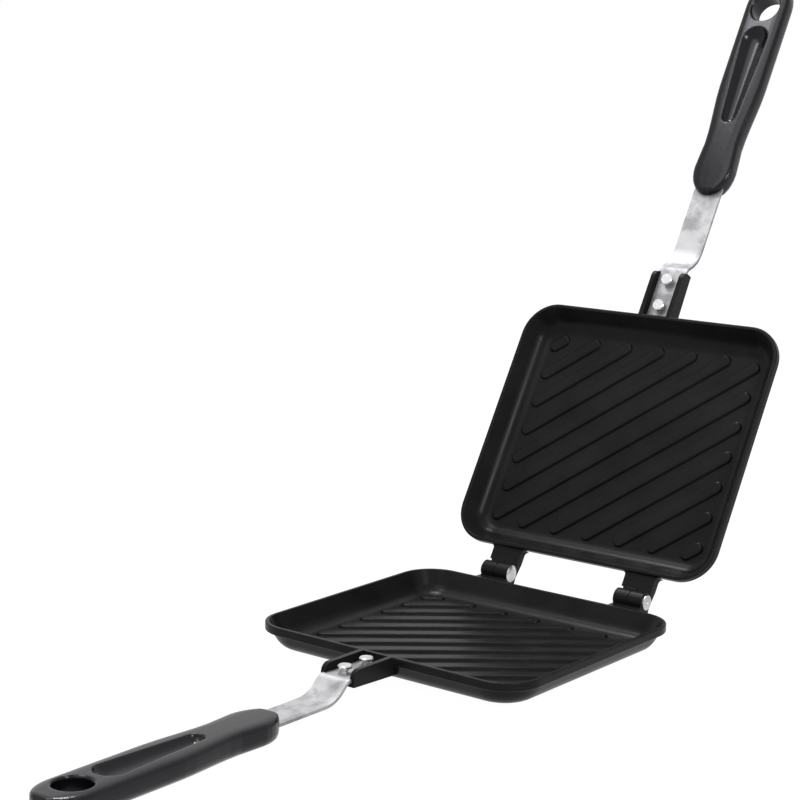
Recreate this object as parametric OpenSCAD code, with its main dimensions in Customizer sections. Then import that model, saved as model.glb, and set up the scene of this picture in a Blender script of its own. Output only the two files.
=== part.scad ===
// Pie iron: two ribbed trays hinged at the back, each on a riveted steel shank with a moulded handle.
// Millimetres. The origin is the middle of the lower tray's underside, +X runs along the hinge,
// +Y points from the handles to the hinge and +Z is up. The upper half is the lower casting turned over.

/* [Tray] */
// Width of a tray along the hinge, over its rim
tray_w = 145; // [130:1:165]
// Length of a tray from its front rim to its back rim
tray_l = 129; // [115:1:150]
// Height of a tray from its underside to its rim
tray_h = 12.4; // [11.5:0.1:15]
// Thickness of the tray's floor
floor_t = 1.9; // [1.6:0.1:2.6]
// Height of the rim band
rim_h = 3.8; // [3:0.1:4.5]
// Corner radius of the rim, seen from above
rim_r = 17.5; // [15:0.5:22]
// Radius on the edges of the rim band
rim_edge = 0.6; // [0.3:0.1:1]
// Width of the flat land on top of the rim
land_w = 1.7; // [1.2:0.1:2.4]
// Set-back of the outer wall under the rim band
wall_step = 1.4; // [1:0.1:2]
// How far the outer wall leans in between the rim band and the underside
wall_lean = 5; // [4:0.1:6]
// Corner radius of the underside, seen from above
base_r = 14.1; // [13:0.1:16]
// Radius between the outer wall and the underside
base_edge = 10.2; // [8:0.1:12]
// How far the inner wall leans in between the land and the cooking floor
inner_lean = 6.1; // [5:0.1:7.5]
// Radius between the inner wall and the cooking floor
floor_fillet = 8; // [6:0.1:9]

/* [Ribs] */
// Number of ribs on each side of the diagonal one
ribs_each_side = 6; // [4:1:6]
// Angle between the ribs and the hinge
rib_angle = 39.6; // [36:0.1:44]
// Distance between neighbouring ribs
rib_pitch = 11.85; // [10:0.05:12]
// Width of a rib where it meets the floor
rib_w = 6.4; // [4:0.1:7]
// Height of a rib above the floor
rib_h = 1.2; // [0.8:0.1:1.6]
// How far a rib's side leans in between the floor and its top
rib_draft = 0.5; // [0.2:0.1:0.8]
// Radius on a rib's upper edge
rib_edge = 0.9; // [0.4:0.1:1.2]
// Distance from a rib's tip to the edge of the flat cooking floor
rib_margin = 0.1; // [0.1:0.1:3]

/* [Hinge] */
// Distance from the tray's back rim to the hinge axis
hinge_reach = 13.3; // [12.5:0.1:15]
// Distance of each hinge's middle from the middle of the tray
hinge_x = 38; // [28:0.5:44]
// Width of a hinge lug's plate
lug_w = 16.3; // [15:0.1:20]
// Thickness of a lug's plate
lug_t = 4; // [3.2:0.1:4.4]
// Depth of a lug's plate below the rim
lug_drop = 1.8; // [1.4:0.1:2.4]
// Distance of the plate's end face from the hinge axis
lug_stand = 6.1; // [5.6:0.1:6.6]
// Radius where a lug's side meets the rim band
lug_fillet = 2; // [0.8:0.1:2.4]
// Outer diameter of a knuckle
knuckle_d = 9; // [8:0.1:9.6]
// Width of one knuckle
knuckle_w = 7.4; // [6:0.1:8]
// Gap between the two knuckles of a hinge
knuckle_gap = 0.3; // [0.2:0.05:0.6]
// Angle between the two trays when the hinge is fully open
open_angle = 120.8; // [100:0.1:130]
// Gap between the two rims when the iron is shut
rim_gap = 0.1; // [0.1:0.05:0.5]
// Gap between a heel and the lug plate that it stops against
stop_gap = 0.05; // [0.02:0.01:0.2]

/* [Hinge pin] */
// Diameter of a hinge pin
pin_d = 4; // [3:0.1:4.6]
// Radial play of a pin in its knuckles
pin_play = 0.05; // [0.02:0.01:0.1]
// Diameter of a pin's domed head
pin_head_d = 8.2; // [6.4:0.1:8.8]
// Thickness of a pin's domed head
pin_head_t = 1.3; // [0.8:0.1:1.6]
// Diameter of a pin's riveted end
pin_tail_d = 7; // [6:0.1:8]
// Thickness of a pin's riveted end
pin_tail_t = 0.9; // [0.6:0.1:1.3]
// Diameter of the dimple in a pin's riveted end
pin_dimple_d = 2; // [1:0.1:2.6]

/* [Bracket] */
// Length of the handle bracket in front of the rim
bracket_l = 25; // [23:0.5:32]
// Clear width between the bracket's walls
channel_w = 13.4; // [12:0.1:15]
// Thickness of a bracket wall
bracket_wall = 2.3; // [1.8:0.1:3]
// Depth of the channel below the rim
channel_depth = 5.1; // [4.6:0.1:5.6]
// Depth of the bracket below the rim at its free end
bracket_tip = 7.2; // [6.8:0.1:8]
// Depth of the bracket below the rim at the tray
bracket_root = 8.6; // [8:0.1:9.4]
// Radius on the upper corner of the bracket's free end
bracket_round = 4; // [2:0.5:4.5]

/* [Shank] */
// Thickness of the steel strip
strip_t = 1.4; // [1:0.1:1.8]
// Width of the strip between bracket and handle
strip_w = 15.6; // [14:0.1:17]
// Play of the strip on each side in the channel
strip_play = 0.2; // [0.1:0.05:0.5]
// Gap between the strip's end and the rim band
strip_end_gap = 1; // [0.5:0.1:2]
// Length of strip that shows between the lower bracket and handle
strip_show = 40.5; // [32:0.5:70]
// How much longer the upper strip is than the lower one
upper_extra = 6.3; // [0:0.1:10]
// Step of the strip away from the rim
joggle_drop = 7.3; // [6.5:0.1:9]
// Distance from the bracket's end to the first bend
joggle_start = 0.8; // [0.4:0.1:2]
// Slope of the strip between its two bends
joggle_angle = 42; // [32:1:48]
// Radius of the bend next to the bracket, at mid thickness
bend_near_r = 3; // [2:0.5:6]
// Radius of the bend next to the handle, at mid thickness
bend_far_r = 16; // [8:0.5:18]
// Width of the strip's tang inside the handle
tang_w = 12; // [9:0.1:13]
// Length of the strip inside the handle
tang_l = 36; // [24:0.5:38]
// Depth in the handle at which the strip narrows to its tang
tang_step = 8; // [6:0.5:12]

/* [Shank rivets] */
// Distance of the inner rivet from the rim
rivet_first = 6; // [5:0.1:7]
// Distance between the two rivets
rivet_pitch = 14; // [11:0.1:15]
// Diameter of a rivet's shaft
rivet_d = 3.2; // [2.6:0.1:4]
// Radial play of a rivet in its holes
rivet_play = 0.05; // [0.02:0.01:0.1]
// Diameter of the collar that holds the strip down
rivet_collar_d = 4.6; // [4.2:0.1:5.2]
// Thickness of the collar
rivet_collar_t = 0.5; // [0.3:0.1:0.8]
// Height of a rivet's head above the strip
rivet_rise = 1.4; // [1:0.1:1.8]
// Diameter of a rivet's head
rivet_head_d = 6.2; // [5.4:0.1:7]
// Height of a rivet's head
rivet_head_h = 2.2; // [1.4:0.1:2.4]
// Height of the flare under the head
rivet_flare = 1; // [0.5:0.1:1.2]
// Bevel on the head's upper edge
rivet_bevel = 0.4; // [0.2:0.05:0.6]
// Diameter of a rivet's closed end under the bracket
rivet_tail_d = 6; // [5:0.1:7]
// Height of a rivet's closed end
rivet_tail_h = 1.2; // [0.8:0.1:1.6]
// Play round a rivet's closed end in its seat
rivet_seat_play = 0.4; // [0.3:0.05:0.6]

/* [Handle] */
// Length of a handle
handle_l = 125; // [115:1:150]
// Half width of the handle near its front end
grip_front = 10.9; // [10:0.1:12]
// Half width of the handle at its waist
grip_waist = 9.7; // [9:0.1:11]
// Half width of the handle at its widest
grip_wide = 12.2; // [11.5:0.1:15]
// Distance of the waist from the front end
waist_at = 29; // [25:1:42]
// Distance of the widest stretch's start from the front end
wide_at = 63; // [55:1:80]
// Height of the handle's inner face above the middle of the strip
face_up = 4.2; // [3.6:0.1:5]
// Depth of the handle's outer face below the middle of the strip
back_down = 7.4; // [6:0.1:9]
// Length over which the front end rounds off, seen from above
front_round = 14.5; // [9:0.5:16]
// Length over which the tail rounds off, seen from above
tail_round = 16; // [12:0.5:18]
// Length over which the outer face rounds off at the front end, seen from the side
front_edge = 6; // [3:0.5:8]
// Length over which the outer face rounds off at the tail, seen from the side
tail_edge = 5; // [3:0.5:7]
// Length over which the inner face rounds off at both ends, seen from the side
face_edge = 2; // [1.5:0.5:6]
// Squareness of the edges of the inner face, where 2 is an ellipse
face_square = 5; // [3:0.1:7]
// Squareness of the edges of the outer face, where 2 is an ellipse
back_square = 2.8; // [2:0.1:4]

/* [Handle details] */
// Diameter of the hanging hole
hole_d = 15.6; // [12:0.1:17]
// Distance of the hanging hole's middle from the tail end
hole_from_tail = 17.5; // [16:0.5:24]
// Bevel on the hanging hole's edges
hole_bevel = 0.8; // [0.4:0.1:1.2]
// Distance of the groove's narrow end from the handle's front end
groove_start = 40; // [39:0.5:48]
// Length of the finger groove
groove_l = 56; // [40:1:58]
// Width of the groove at its narrow end
groove_narrow = 8.4; // [6:0.1:10]
// Width of the groove at its wide end
groove_wide = 14.6; // [11:0.1:16]
// Depth of the groove at its narrow end
groove_shallow = 3; // [1.5:0.1:3.5]
// Depth of the groove at its wide end
groove_deep = 4; // [2:0.1:4.5]

/* [Hidden] */
$fn = 64;
cut = 1;                                  // how far a cutting shape runs past the face that it opens
lap = 0.3;                                // how far a filling or rounding piece laps over a corner
coat = "#1d1d1f";
steel = "#c9c9cc";
plastic = "#232325";

// Heights and lengths that follow from the sizes above
floor_z = floor_t - tray_h;               // heights are counted from the rim plane
cavity_depth = tray_h - floor_t;
inner_slope = atan(cavity_depth / inner_lean);
floor_edge = land_w + inner_lean + floor_fillet * tan(inner_slope / 2);
wall_slope = atan((tray_h - rim_h) / wall_lean);
base_inset = wall_step + wall_lean;
rib_slope = atan(rib_h / rib_draft);
front_y = -tray_l / 2;
hinge_y = tray_l / 2 + hinge_reach;
hinge_z = rim_gap / 2;
knuckle_r = knuckle_d / 2;
knuckle_end = knuckle_gap / 2 + knuckle_w;
bracket_w = channel_w + 2 * bracket_wall;
bracket_y = front_y - bracket_l;
strip_z = strip_t / 2 - channel_depth;    // middle of the strip in the channel
handle_z = strip_z - joggle_drop;         // middle of the strip in the handle
handle_y = bracket_y - strip_show;
inner_rivet_y = front_y - rivet_first;
outer_rivet_y = inner_rivet_y - rivet_pitch;
rivet_seat_r = rivet_tail_d / 2 + rivet_seat_play;
hole_y = handle_y - handle_l + hole_from_tail;

// Puts a piece that is drawn from the rim plane into the lower half
module in_lower() {
  translate([0, 0, tray_h]) children();
}

// Turns a piece of the lower half over and swings it open about the hinge
module in_upper() {
  in_lower()
    translate([0, hinge_y, hinge_z])
      rotate([-open_angle, 0, 0])
        rotate([0, 180, 0])
          translate([0, -hinge_y, -hinge_z])
            children();
}

// Extrudes an outline drawn in Y and Z from x0 to x1
module along_x(x0, x1) {
  translate([x0, 0, 0]) rotate([90, 0, 90]) linear_extrude(x1 - x0) children();
}

// Corner of an outline that a rounding takes off or fills: p is the corner, a1 and a2 are the
// directions of the two lines that leave it and r is the radius. It laps over the corner a little
module corner_piece(p, a1, a2, r) {
  half = (a2 - a1) / 2;
  mid = (a1 + a2) / 2;
  reach = r / tan(half);
  difference() {
    polygon([
      p + reach * [cos(a1), sin(a1)], p + reach * [cos(a2), sin(a2)], p - lap * [cos(mid), sin(mid)]
    ]);
    translate(p + r / sin(half) * [cos(mid), sin(mid)]) circle(r = r);
  }
}

// Sweeps an outline round the tray: its x runs outwards from the middle of a corner of radius r
module swept_round(r, z0, z1) {
  half_x = tray_w / 2 - r;
  half_y = tray_l / 2 - r;
  translate([-half_x, -half_y, z0]) cube([2 * half_x, 2 * half_y, z1 - z0]);
  for (turn = [0, 180]) rotate([0, 0, turn]) {
    translate([half_x, half_y, 0]) rotate_extrude(angle = 90) children();
    translate([half_x, half_y, 0]) rotate([90, 0, 0]) linear_extrude(2 * half_y) children();
    translate([-half_x, half_y, 0]) rotate([0, 0, 90]) rotate_extrude(angle = 90) children();
    translate([-half_x, half_y, 0]) rotate([90, 0, 90]) linear_extrude(2 * half_x) children();
  }
}

// Rim band with rounded outer edges
module rim_band() {
  swept_round(rim_r, -rim_h, 0)
    difference() {
      translate([0, -rim_h]) square([rim_r, rim_h]);
      corner_piece([rim_r, 0], 180, 270, rim_edge);
      corner_piece([rim_r, -rim_h], 90, 180, rim_edge);
    }
}

// Leaning outer wall and underside
module outer_wall() {
  top_r = base_r + wall_lean;
  swept_round(base_r + base_inset, -tray_h, -rim_h / 2)
    difference() {
      polygon([[0, -rim_h / 2], [top_r, -rim_h / 2], [top_r, -rim_h], [base_r, -tray_h], [0, -tray_h]]);
      corner_piece([base_r, -tray_h], wall_slope, 180, base_edge);
    }
}

// Space above the cooking floor, with leaning walls and a filleted foot
module cavity() {
  mouth_r = rim_r - land_w;
  foot_r = mouth_r - inner_lean;
  swept_round(rim_r, floor_z, cut)
    difference() {
      polygon([[0, cut], [mouth_r, cut], [mouth_r, 0], [foot_r, floor_z], [0, floor_z]]);
      corner_piece([foot_r, floor_z], inner_slope, 180, floor_fillet);
    }
}

// Cross-section of a rib, rooted halfway down in the floor
module rib_section() {
  foot = rib_w / 2;
  top = foot - rib_draft;
  root = floor_t / 2;
  difference() {
    polygon([[-foot, -root], [foot, -root], [foot, 0], [top, rib_h], [-top, rib_h], [-foot, 0]]);
    corner_piece([top, rib_h], 180, 360 - rib_slope, rib_edge);
    corner_piece([-top, rib_h], 180 + rib_slope, 360, rib_edge);
  }
}

// Right half of a rib's cross-section, which turns round each end
module rib_half_section() {
  foot = rib_w / 2;
  top = foot - rib_draft;
  root = floor_t / 2;
  difference() {
    polygon([[0, -root], [foot, -root], [foot, 0], [top, rib_h], [0, rib_h]]);
    corner_piece([top, rib_h], 180, 360 - rib_slope, rib_edge);
  }
}

// One flat-topped rib with round ends, whose middles are at distances s0 and s1 along its line
module rib(offset_n, s0, s1) {
  rotate([0, 0, rib_angle]) translate([0, offset_n, floor_z]) {
    translate([s0, 0, 0]) rotate([90, 0, 90]) linear_extrude(s1 - s0) rib_section();
    for (s = [s0, s1]) translate([s, 0, 0]) rotate_extrude() rib_half_section();
  }
}

// Diagonal ribs, each as long as the floor lets it be
module ribs() {
  half_x = tray_w / 2 - floor_edge - rib_margin - rib_w / 2;
  half_y = tray_l / 2 - floor_edge - rib_margin - rib_w / 2;
  c = cos(rib_angle);
  s = sin(rib_angle);
  for (i = [-ribs_each_side : ribs_each_side]) {
    o = i * rib_pitch;
    s0 = max((o * s - half_x) / c, (-o * c - half_y) / s);
    s1 = min((o * s + half_x) / c, (half_y - o * c) / s);
    rib(o, s0, s1);
  }
}

// Side view of the knuckle, its web to the plate and the heel that stops the other half
module knuckle_outline() {
  heel_in = lug_drop;
  heel_out = lug_drop + lug_t;
  stop = lug_stand - stop_gap;
  translate([hinge_y, hinge_z]) circle(r = knuckle_r);
  polygon([
    [hinge_y - lug_stand - cut, -lug_drop], [hinge_y, -lug_drop],
    [hinge_y, -knuckle_r], [hinge_y - lug_stand - cut, -lug_drop - lug_t]
  ]);
  translate([hinge_y, hinge_z]) rotate(180 - open_angle)
    polygon([
      [0, -heel_in], [stop, -heel_in], [stop, -heel_out],
      [-knuckle_r * sin(open_angle - 90), -heel_out], [-knuckle_r, 0]
    ]);
}

// One hinge lug: a plate behind the rim with a knuckle on its left half, flush with the plate's side
module lug(x) {
  plate_y = tray_l / 2 - base_inset;
  translate([x, 0, -lug_drop - lug_t]) linear_extrude(lug_t) {
    translate([-knuckle_end, plate_y]) square([lug_w, hinge_y - lug_stand - plate_y]);
    corner_piece([-knuckle_end, tray_l / 2], 90, 180, lug_fillet);
    corner_piece([lug_w - knuckle_end, tray_l / 2], 0, 90, lug_fillet);
  }
  along_x(x - knuckle_end, x - knuckle_gap / 2) knuckle_outline();
}

// Handle bracket before its channel is cut
module bracket_block() {
  back = front_y + floor_edge;
  along_x(-bracket_w / 2, bracket_w / 2)
    difference() {
      polygon([[back, 0], [bracket_y, 0], [bracket_y, -bracket_tip], [back, -bracket_root]]);
      corner_piece([bracket_y, 0], 270, 360, bracket_round);
    }
}

// Ribbed tray with its hinge lugs and handle bracket, cast in one piece
module casting() {
  difference() {
    union() {
      rim_band();
      outer_wall();
      bracket_block();
      for (x = [-hinge_x, hinge_x]) lug(x);
    }
    cavity();
    translate([-channel_w / 2, bracket_y - cut, -channel_depth])
      cube([channel_w, bracket_l + cut, channel_depth + cut]);
    for (y = [inner_rivet_y, outer_rivet_y]) {
      translate([0, y, -tray_h]) cylinder(r = rivet_d / 2 + rivet_play, h = tray_h);
      translate([0, y, -tray_h]) cylinder(r = rivet_seat_r, h = tray_h + rivet_seat_z(y));
    }
    for (x = [-hinge_x, hinge_x])
      translate([x - lug_w, hinge_y, hinge_z]) rotate([0, 90, 0])
        cylinder(r = pin_d / 2 + pin_play, h = 2 * lug_w);
  }
  ribs();
}

// Side view of the steel strip: flat in the channel, a step outwards, flat again into the handle.
// The stretch to the handle is longer by extra
module strip_outline(extra) {
  h = strip_t / 2;
  lean = tan(joggle_angle / 2);
  start_y = front_y - strip_end_gap;
  end_y = handle_y - tang_l - extra;
  near = [bracket_y - joggle_start - bend_near_r * lean, strip_z];
  far = near - joggle_drop * [1 / tan(joggle_angle), 1];
  up = h * [-lean, 1];
  difference() {
    union() {
      polygon([
        [start_y, strip_z + h], near + up, far + up, [end_y, handle_z + h],
        [end_y, handle_z - h], far - up, near - up, [start_y, strip_z - h]
      ]);
      corner_piece(near - up, 180 + joggle_angle, 360, bend_near_r - h);
      corner_piece(far + up, joggle_angle, 180, bend_far_r - h);
    }
    corner_piece(near + up, 180 + joggle_angle, 360, bend_near_r + h);
    corner_piece(far - up, joggle_angle, 180, bend_far_r + h);
  }
}

// View of the strip from above: narrow in the channel, wide in between, narrow again as the tang
module strip_plan(extra) {
  neck_w = channel_w - 2 * strip_play;
  shoulder_y = bracket_y - strip_play;
  tang_y = handle_y - tang_step - extra;
  translate([-neck_w / 2, shoulder_y]) square([neck_w, bracket_l]);
  translate([-strip_w / 2, tang_y]) square([strip_w, shoulder_y - tang_y]);
  translate([-tang_w / 2, tang_y - tang_l]) square([tang_w, tang_l]);
}

// Steel shank with its two rivet holes
module shank(extra) {
  difference() {
    intersection() {
      along_x(-strip_w, strip_w) strip_outline(extra);
      translate([0, 0, -2 * tray_h]) linear_extrude(2 * tray_h) strip_plan(extra);
    }
    for (y = [inner_rivet_y, outer_rivet_y])
      translate([0, y, -tray_h]) cylinder(r = rivet_d / 2 + rivet_play, h = tray_h);
  }
}

// Height of the flat seat that a rivet's closed end has in the bracket's sloping underside
function rivet_seat_z(y) =
  -bracket_tip - (bracket_root - bracket_tip) * (y - rivet_seat_r - bracket_y) / bracket_l;

// Rivet through strip and bracket floor: collar and flared head above, closed end below
module shank_rivet(y) {
  r = rivet_d / 2;
  top = strip_z + strip_t / 2;
  seat = rivet_seat_z(y);
  head = top + rivet_rise;
  translate([0, y, 0])
    rotate_extrude()
      polygon([
        [0, seat - rivet_tail_h], [r, seat - rivet_tail_h], [rivet_tail_d / 2, seat - rivet_tail_h / 3],
        [rivet_tail_d / 2, seat], [r, seat], [r, top],
        [rivet_collar_d / 2, top], [rivet_collar_d / 2, top + rivet_collar_t], [r, top + rivet_collar_t],
        [r, head], [rivet_head_d / 2, head + rivet_flare],
        [rivet_head_d / 2, head + rivet_head_h - rivet_bevel],
        [rivet_head_d / 2 - rivet_bevel, head + rivet_head_h], [0, head + rivet_head_h]
      ]);
}

// Hinge pin along X: shaft through both knuckles, domed head at -X, riveted end with a dimple at +X
module hinge_pin_solid() {
  dome_r = (pin_head_d * pin_head_d / 4 + pin_head_t * pin_head_t) / (2 * pin_head_t);
  rotate([0, 90, 0]) {
    translate([0, 0, -knuckle_end]) cylinder(d = pin_d, h = 2 * knuckle_end);
    intersection() {
      translate([0, 0, -knuckle_end - pin_head_t + dome_r]) sphere(r = dome_r);
      translate([0, 0, -knuckle_end - pin_head_t]) cylinder(d = pin_head_d, h = pin_head_t);
    }
    difference() {
      translate([0, 0, knuckle_end]) cylinder(d = pin_tail_d, h = pin_tail_t);
      translate([0, 0, knuckle_end + pin_tail_t + pin_dimple_d / 4]) sphere(d = pin_dimple_d);
    }
  }
}

// Smooth step from 0 to 1 as t goes from t0 to t1
function ease(t, t0, t1) = let (u = min(1, max(0, (t - t0) / (t1 - t0)))) u * u * (3 - 2 * u);

// Part of the full size left at distance t from a rounded end of length r
function end_scale(t, r) = t >= r ? 1 : sqrt(1 - pow(1 - t / r, 2));

// Half width of the handle at distance t from its front end
function grip_half(t) =
  grip_front
  + (grip_waist - grip_front) * ease(t, waist_at / 2, waist_at)
  + (grip_wide - grip_waist) * ease(t, waist_at, wide_at);

// One rounded section of the handle, seen from its front end
function grip_section(t) =
  let (
    w = grip_half(t) * end_scale(t, front_round) * end_scale(handle_l - t, tail_round),
    up = face_up * end_scale(t, face_edge) * end_scale(handle_l - t, face_edge),
    down = back_down * end_scale(t, front_edge) * end_scale(handle_l - t, tail_edge)
  )
  [for (k = [0 : section_points - 1])
    let (
      a = 360 * k / section_points,
      p = 2 / (sin(a) >= 0 ? face_square : back_square),
      tall = sin(a) >= 0 ? up : down
    )
    [w * sign(cos(a)) * pow(abs(cos(a)), p), handle_y - t, handle_z + tall * sign(sin(a)) * pow(abs(sin(a)), p)]
  ];

section_points = 32;                      // points round one section of the handle
end_stations = 8;                         // sections in a rounded end
body_stations = 14;                       // sections between the ends
tip = 0.1;                                // distance of the first and last section from the ends
stations = concat(
  [for (i = [0 : end_stations - 1]) tip + (front_round - tip) * (1 - cos(90 * i / end_stations))],
  [for (i = [0 : body_stations]) front_round + (handle_l - front_round - tail_round) * i / body_stations],
  [for (i = [end_stations - 1 : -1 : 0]) handle_l - tip - (tail_round - tip) * (1 - cos(90 * i / end_stations))]
);

// Moulded body of the handle, lofted through its sections
module grip_body() {
  n = section_points;
  last = len(stations) - 1;
  points = [for (t = stations) each grip_section(t)];
  sides = [for (i = [0 : last - 1], k = [0 : n - 1])
    let (a = i * n + k, b = i * n + (k + 1) % n) each [[a, b + n, b], [a, a + n, b + n]]];
  ends = [[for (k = [0 : n - 1]) k], [for (k = [n - 1 : -1 : 0]) last * n + k]];
  polyhedron(points = points, faces = concat(sides, ends));
}

// Tapered finger groove: two balls and the cone between them, sunk into the inner face
module groove() {
  face_z = handle_z + face_up;
  r1 = (groove_narrow * groove_narrow / 4 + groove_shallow * groove_shallow) / (2 * groove_shallow);
  r2 = (groove_wide * groove_wide / 4 + groove_deep * groove_deep) / (2 * groove_deep);
  y1 = handle_y - groove_start - groove_narrow / 2;
  y2 = handle_y - groove_start - groove_l + groove_wide / 2;
  z1 = face_z + r1 - groove_shallow;
  z2 = face_z + r2 - groove_deep;
  length = norm([y2 - y1, z2 - z1]);
  lean = asin((r2 - r1) / length);
  translate([0, y1, z1]) {
    sphere(r = r1);
    rotate([atan2(y1 - y2, z2 - z1), 0, 0]) {
      translate([0, 0, -r1 * sin(lean)])
        cylinder(r1 = r1 * cos(lean), r2 = r2 * cos(lean), h = length - (r2 - r1) * sin(lean));
      translate([0, 0, length]) sphere(r = r2);
    }
  }
}

// Hanging hole with a bevel at both faces
module hanging_hole() {
  top = handle_z + face_up;
  bottom = handle_z - back_down;
  r = hole_d / 2;
  translate([0, hole_y, 0]) {
    translate([0, 0, bottom - cut]) cylinder(r = r, h = top - bottom + 2 * cut);
    translate([0, 0, top - hole_bevel]) cylinder(r1 = r, r2 = r + hole_bevel + cut, h = hole_bevel + cut);
    translate([0, 0, bottom - cut]) cylinder(r1 = r + hole_bevel + cut, r2 = r, h = hole_bevel + cut);
  }
}

// Handle moulded over the strip's tang, with finger groove and hanging hole
module handle() {
  difference() {
    grip_body();
    groove();
    hanging_hole();
    translate([-strip_w / 2, handle_y - tang_step, handle_z - strip_t / 2])
      cube([strip_w, tang_step + cut, strip_t]);
    translate([-tang_w / 2, handle_y - tang_l, handle_z - strip_t / 2])
      cube([tang_w, tang_l, strip_t]);
  }
}

// Sub-parts of the lower half
module lower_pan() color(coat) in_lower() casting();
module lower_shank() color(steel) in_lower() shank(0);
module lower_handle() color(plastic) in_lower() handle();
module lower_inner_rivet() color(steel) in_lower() shank_rivet(inner_rivet_y);
module lower_outer_rivet() color(steel) in_lower() shank_rivet(outer_rivet_y);

// Sub-parts of the upper half
module upper_pan() color(coat) in_upper() casting();
module upper_shank() color(steel) in_upper() shank(upper_extra);
module upper_handle() color(plastic) in_upper() translate([0, -upper_extra, 0]) handle();
module upper_inner_rivet() color(steel) in_upper() shank_rivet(inner_rivet_y);
module upper_outer_rivet() color(steel) in_upper() shank_rivet(outer_rivet_y);

// Hinge pins, with their heads towards the middle of the iron
module right_hinge_pin()
  color(steel) in_lower() translate([hinge_x, hinge_y, hinge_z]) hinge_pin_solid();
module left_hinge_pin()
  color(steel) in_lower() translate([-hinge_x, hinge_y, hinge_z]) mirror([1, 0, 0]) hinge_pin_solid();

lower_pan();
upper_pan();
lower_shank();
upper_shank();
lower_handle();
upper_handle();
lower_inner_rivet();
lower_outer_rivet();
upper_inner_rivet();
upper_outer_rivet();
left_hinge_pin();
right_hinge_pin();
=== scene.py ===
"""Looks, light and camera for an open double-sided pie iron.

Everything is in metres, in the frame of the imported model. The shapes are all the model's own.
"""
import math

import bpy
from mathutils import Euler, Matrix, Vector


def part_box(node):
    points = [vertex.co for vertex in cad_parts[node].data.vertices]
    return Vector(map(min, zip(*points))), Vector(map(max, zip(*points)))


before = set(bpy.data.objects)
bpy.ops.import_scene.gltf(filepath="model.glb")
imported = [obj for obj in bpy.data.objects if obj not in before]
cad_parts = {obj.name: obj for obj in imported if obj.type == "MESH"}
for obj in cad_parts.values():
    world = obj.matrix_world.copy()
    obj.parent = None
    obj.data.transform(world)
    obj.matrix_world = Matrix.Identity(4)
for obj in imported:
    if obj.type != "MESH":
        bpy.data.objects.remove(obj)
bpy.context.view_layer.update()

# Camera: the photograph's place, turn and lens, for an 800 x 800 picture
CAMERA_AT = (0.53380, -0.72804, 0.28024)
CAMERA_TURN = (79.452, -0.841, 38.378)     # degrees about X, Y and Z
CAMERA_LENS = 94.165                       # millimetres
CAMERA_SENSOR = 36                         # millimetres
CAMERA_FARTHEST = 20                       # metres: the camera sees nothing past this

# The iron
HALVES = ("lower", "upper")
OPEN_ANGLE = math.radians(120.8)           # between the two trays
SLOPE = math.pi - OPEN_ANGLE               # of the upper tray above the horizon

# Floor: it runs under a point just past the back edge of the tray's flat underside and under a
# point on the handle's tail. Between them the handle's belly dips 2 mm into it, out of sight.
FLOOR_SIZE = 6.0
FLOOR_GAP = 0.0003                         # from these two points down to the floor
EDGE_IN = 0.0298                           # from the far end of the hinge in to the first point
TAIL_IN = 0.010                            # from the handle's end in to the second
PAPER_GREY = 0.80
PAPER_WHITE = 1.05                         # strength of the white that is seen directly
PAPER_WHITE_SHARE = 0.94                   # of what is seen directly. The rest is lit paper

# World: strength of its white to rays that see it directly, and of its fill of soft light
WORLD_SEEN = 1.0
WORLD_FILL = 0.7

# Square soft boxes: name, place, length of a side and watts
LAMPS_FACE = (0, 0.06, 0.10)
LAMPS = (
    ("back_left", (-0.577, 0.464, 1.424), 0.28, 12),
    ("left", (-0.650, -0.240, 1.415), 0.36, 5.5),
    ("front", (-0.194, -0.664, 1.399), 0.80, 5),
    ("right", (1.200, -0.450, 0.820), 0.30, 9),
)


# --- Small helpers for node trees ---------------------------------------------------------------

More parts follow.
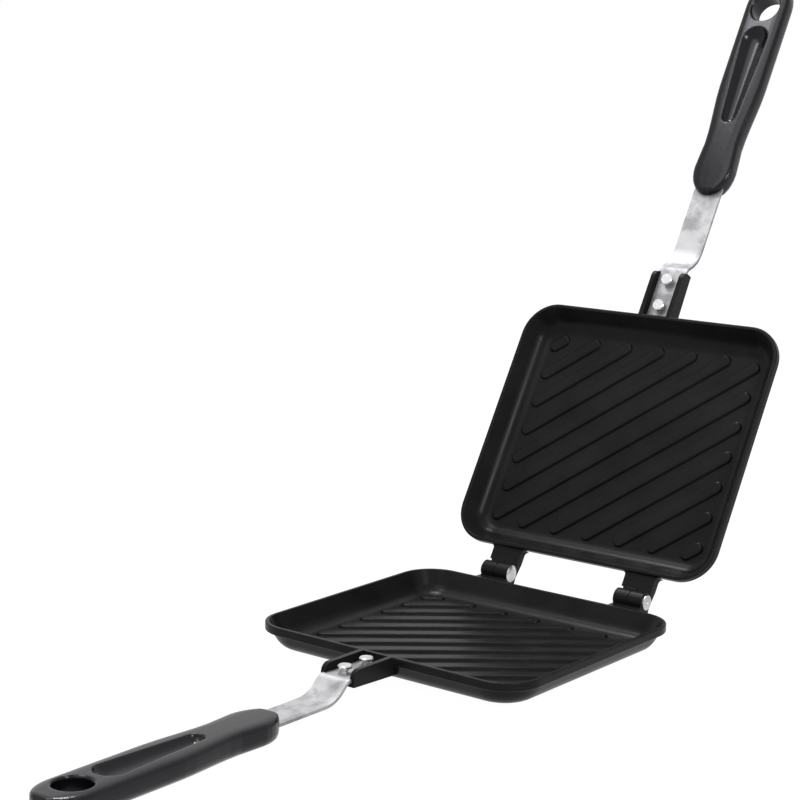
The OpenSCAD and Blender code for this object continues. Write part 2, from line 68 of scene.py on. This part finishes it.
class Tree:
    """A material's node tree, with short calls that make and join nodes."""

    def __init__(self, name):
        self.material = bpy.data.materials.new(name)
        self.material.use_nodes = True
        self.tree = self.material.node_tree
        self.tree.nodes.clear()
        self.output = self.tree.nodes.new("ShaderNodeOutputMaterial")

    def node(self, kind, **values):
        made = self.tree.nodes.new("ShaderNode" + kind)
        for key, value in values.items():
            setattr(made, key, value)
        return made

    def join(self, source, target):
        self.tree.links.new(source, target)

    def shader(self, **inputs):
        """The principled shader, joined to the output. Keys are socket names with _ for a space."""
        made = self.node("BsdfPrincipled")
        for key, value in inputs.items():
            made.inputs[key.replace("_", " ")].default_value = value
        self.join(made.outputs["BSDF"], self.output.inputs["Surface"])
        return made

    def place(self, scale=(1, 1, 1), turn=0.0):
        """Object coordinates, turned about X and stretched."""
        coordinates = self.node("TexCoord")
        mapping = self.node("Mapping", vector_type="POINT")
        mapping.inputs["Rotation"].default_value = (turn, 0, 0)
        mapping.inputs["Scale"].default_value = scale
        self.join(coordinates.outputs["Object"], mapping.inputs["Vector"])
        return mapping.outputs["Vector"]

    def noise(self, place, scale, detail, roughness=0.5):
        """Noise with about this many bumps in a metre."""
        made = self.node("TexNoise")
        made.inputs["Scale"].default_value = scale
        made.inputs["Detail"].default_value = detail
        made.inputs["Roughness"].default_value = roughness
        self.join(place, made.inputs["Vector"])
        return made.outputs["Fac"]

    def spread(self, value, source, result):
        """Maps value from one (low, high) pair to another."""
        made = self.node("MapRange")
        for side, (least, most) in (("From", source), ("To", result)):
            made.inputs[side + " Min"].default_value = least
            made.inputs[side + " Max"].default_value = most
        self.join(value, made.inputs["Value"])
        return made.outputs["Result"]

    def colours(self, value, *stops):
        """A colour ramp with (position, colour) stops."""
        made = self.node("ValToRGB")
        ramp = made.color_ramp
        while len(ramp.elements) < len(stops):
            ramp.elements.new(0.5)
        for element, (position, colour) in zip(ramp.elements, stops):
            element.position = position
            element.color = (*colour, 1)
        self.join(value, made.inputs["Fac"])
        return made.outputs["Color"]

    def sum(self, first, second, weight):
        """The first value plus weight times the second."""
        made = self.node("Math", operation="MULTIPLY_ADD")
        made.inputs[1].default_value = weight
        self.join(second, made.inputs[0])
        self.join(first, made.inputs[2])
        return made.outputs["Value"]

    def bump(self, height, strength, distance, below=None):
        """Normals with a height map pressed into them, over other normals if any are given."""
        made = self.node("Bump")
        made.inputs["Strength"].default_value = strength
        made.inputs["Distance"].default_value = distance
        self.join(height, made.inputs["Height"])
        if below is not None:
            self.join(below, made.inputs["Normal"])
        return made.outputs["Normal"]

    def softened(self, radius):
        """Normals as if every edge were rounded to a radius."""
        made = self.node("Bevel", samples=6)
        made.inputs["Radius"].default_value = radius
        return made.outputs["Normal"]


# --- Materials ----------------------------------------------------------------------------------

def coated_casting():
    """Black non-stick coating on cast aluminium: satin, with a fine grain and faint clouds."""
    t = Tree("coated_casting")
    shader = t.shader(Metallic=0.0, IOR=1.38, Specular_IOR_Level=0.125)
    place = t.place()
    clouds = t.noise(place, scale=45, detail=4)
    speckle = t.noise(place, scale=1700, detail=2, roughness=0.6)
    orange_peel = t.noise(place, scale=320, detail=2)
    colour = t.colours(t.sum(clouds, speckle, weight=0.8),
                       (0.7, (0.0046, 0.0046, 0.0048)),
                       (1.0, (0.0076, 0.0076, 0.0082)))
    roughness = t.spread(t.sum(clouds, speckle, weight=0.6), (0.5, 1.1), (0.26, 0.35))
    smooth = t.bump(orange_peel, strength=0.10, distance=0.0002, below=t.softened(radius=0.0005))
    grain = t.bump(speckle, strength=0.28, distance=0.00006, below=smooth)
    t.join(colour, shader.inputs["Base Color"])
    t.join(roughness, shader.inputs["Roughness"])
    t.join(grain, shader.inputs["Normal"])
    return t.material


def shank_steel(half):
    """Pressed steel strip: satin, with fine lines along it and grey smudges from handling."""
    turn = 0.0 if half == "lower" else -SLOPE
    t = Tree("shank_steel_" + half)
    shader = t.shader(Metallic=0.85)
    # The lines are noise that is stretched along the strip, so its scale is in the place.
    lines = t.noise(t.place(scale=(2600, 22, 900), turn=turn), scale=1, detail=3)
    smudges = t.noise(t.place(turn=turn), scale=75, detail=5, roughness=0.6)
    colour = t.colours(smudges,
                       (0.40, (0.22, 0.22, 0.23)),
                       (0.52, (0.345, 0.345, 0.355)),
                       (0.80, (0.385, 0.385, 0.385)))
    roughness = t.spread(t.sum(smudges, lines, weight=0.5), (0.4, 1.1), (0.60, 0.48))
    t.join(colour, shader.inputs["Base Color"])
    t.join(roughness, shader.inputs["Roughness"])
    t.join(t.bump(lines, strength=0.12, distance=0.00004), shader.inputs["Normal"])
    return t.material


def rivet_steel():
    """Bright steel of the rivets and hinge pins: turned faces with small dents."""
    t = Tree("rivet_steel")
    shader = t.shader(Metallic=0.9)
    place = t.place()
    dents = t.noise(place, scale=420, detail=3)
    stain = t.noise(place, scale=160, detail=4)
    colour = t.colours(stain, (0.30, (0.40, 0.40, 0.41)), (0.65, (0.62, 0.62, 0.62)))
    t.join(colour, shader.inputs["Base Color"])
    t.join(t.spread(stain, (0.3, 0.7), (0.34, 0.20)), shader.inputs["Roughness"])
    t.join(t.bump(dents, strength=0.25, distance=0.00015), shader.inputs["Normal"])
    return t.material


def handle_plastic():
    """Black phenolic moulding: semi-gloss with a faint orange peel and finer dull specks."""
    t = Tree("handle_plastic")
    # The faint blue of its reflections is painted light: the lamps are white, and this tint stands
    # in for bluish light.
    shader = t.shader(Metallic=0.0, IOR=1.5, Specular_IOR_Level=0.25,
                      Specular_Tint=(0.93, 0.93, 1.0, 1))
    place = t.place()
    peel = t.noise(place, scale=260, detail=2)
    specks = t.noise(place, scale=1300, detail=2)
    clouds = t.noise(place, scale=60, detail=3)
    colour = t.colours(clouds,
                       (0.3, (0.0022, 0.0022, 0.0030)),
                       (0.7, (0.0032, 0.0032, 0.0042)))
    roughness = t.spread(t.sum(clouds, specks, weight=0.5), (0.4, 1.1), (0.15, 0.22))
    smooth = t.bump(peel, strength=0.08, distance=0.0002, below=t.softened(radius=0.0012))
    grain = t.bump(specks, strength=0.06, distance=0.00004, below=smooth)
    t.join(colour, shader.inputs["Base Color"])
    t.join(roughness, shader.inputs["Roughness"])
    t.join(grain, shader.inputs["Normal"])
    return t.material


def dress(node, material):
    """Gives a CAD node its material, in place of the plain one that it came with."""
    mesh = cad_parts[node].data
    mesh.materials.clear()
    mesh.materials.append(material)


def dress_all():
    casting, rivets, plastic = coated_casting(), rivet_steel(), handle_plastic()
    for half in HALVES:
        dress(half + "_pan", casting)
        dress(half + "_handle", plastic)
        dress(half + "_shank", shank_steel(half))
        dress(half + "_inner_rivet", rivets)
        dress(half + "_outer_rivet", rivets)
    for side in ("left", "right"):
        dress(side + "_hinge_pin", rivets)


# --- Studio -------------------------------------------------------------------------------------

def seen_directly(tree):
    """One for rays from the camera and those mirrored or let through by a surface, else nothing."""
    rays = tree.nodes.new("ShaderNodeLightPath")
    seen = rays.outputs["Is Camera Ray"]
    for kind in ("Is Glossy Ray", "Is Transmission Ray"):
        either = tree.nodes.new("ShaderNodeMath")
        either.operation = "MAXIMUM"
        tree.links.new(seen, either.inputs[0])
        tree.links.new(rays.outputs[kind], either.inputs[1])
        seen = either.outputs["Value"]
    return seen


def floor_paper():
    """Paper that is nearly white where it is seen directly, and plain grey to the light."""
    t = Tree("floor_paper")
    paper = t.node("BsdfDiffuse")
    paper.inputs["Color"].default_value = (PAPER_GREY, PAPER_GREY, PAPER_GREY, 1)
    white = t.node("Emission")
    white.inputs["Strength"].default_value = PAPER_WHITE
    share = t.node("Math", operation="MULTIPLY")
    share.inputs[1].default_value = PAPER_WHITE_SHARE
    mixed = t.node("MixShader")
    t.join(seen_directly(t.tree), share.inputs[0])
    t.join(share.outputs["Value"], mixed.inputs["Fac"])
    t.join(paper.outputs["BSDF"], mixed.inputs[1])
    t.join(white.outputs["Emission"], mixed.inputs[2])
    t.join(mixed.outputs["Shader"], t.output.inputs["Surface"])
    return t.material


def make_floor():
    """The floor under the iron, which leans a little because the handle is lower than the tray."""
    pan_low, pan_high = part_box("lower_pan")
    grip_low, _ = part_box("lower_handle")
    edge = Vector((0, pan_high.y - EDGE_IN, pan_low.z))
    tail = Vector((0, grip_low.y + TAIL_IN, grip_low.z))
    lean = math.atan2(edge.z - tail.z, edge.y - tail.y)
    bpy.ops.mesh.primitive_plane_add(size=FLOOR_SIZE)
    floor = bpy.context.object
    floor.name = "floor"
    floor.rotation_euler = (lean, 0, 0)
    floor.location = edge - Vector((0, 0, FLOOR_GAP))
    floor.data.materials.append(floor_paper())


def make_world():
    """White to the camera and to reflections, a soft fill to everything else."""
    world = bpy.data.worlds.new("studio")
    bpy.context.scene.world = world
    world.use_nodes = True
    tree = world.node_tree
    background = tree.nodes["Background"]
    strength = tree.nodes.new("ShaderNodeMapRange")
    strength.inputs["To Min"].default_value = WORLD_FILL
    strength.inputs["To Max"].default_value = WORLD_SEEN
    background.inputs["Color"].default_value = (1, 1, 1, 1)
    tree.links.new(seen_directly(tree), strength.inputs["Value"])
    tree.links.new(strength.outputs["Result"], background.inputs["Strength"])


def make_lamps():
    for name, at, side, watts in LAMPS:
        data = bpy.data.lights.new(name, "AREA")
        data.shape = "SQUARE"
        data.size = side
        data.energy = watts
        lamp = bpy.data.objects.new(name, data)
        lamp.location = at
        towards = Vector(LAMPS_FACE) - Vector(at)
        lamp.rotation_euler = towards.to_track_quat("-Z", "Y").to_euler()
        bpy.context.scene.collection.objects.link(lamp)


def make_camera():
    data = bpy.data.cameras.new("camera")
    data.lens = CAMERA_LENS
    data.sensor_width = CAMERA_SENSOR
    data.clip_end = CAMERA_FARTHEST
    camera = bpy.data.objects.new("camera", data)
    camera.location = CAMERA_AT
    camera.rotation_euler = Euler([math.radians(angle) for angle in CAMERA_TURN], "XYZ")
    bpy.context.scene.collection.objects.link(camera)
    bpy.context.scene.camera = camera


bpy.context.scene.view_settings.view_transform = "Standard"
make_camera()
dress_all()
make_floor()
make_world()
make_lamps()
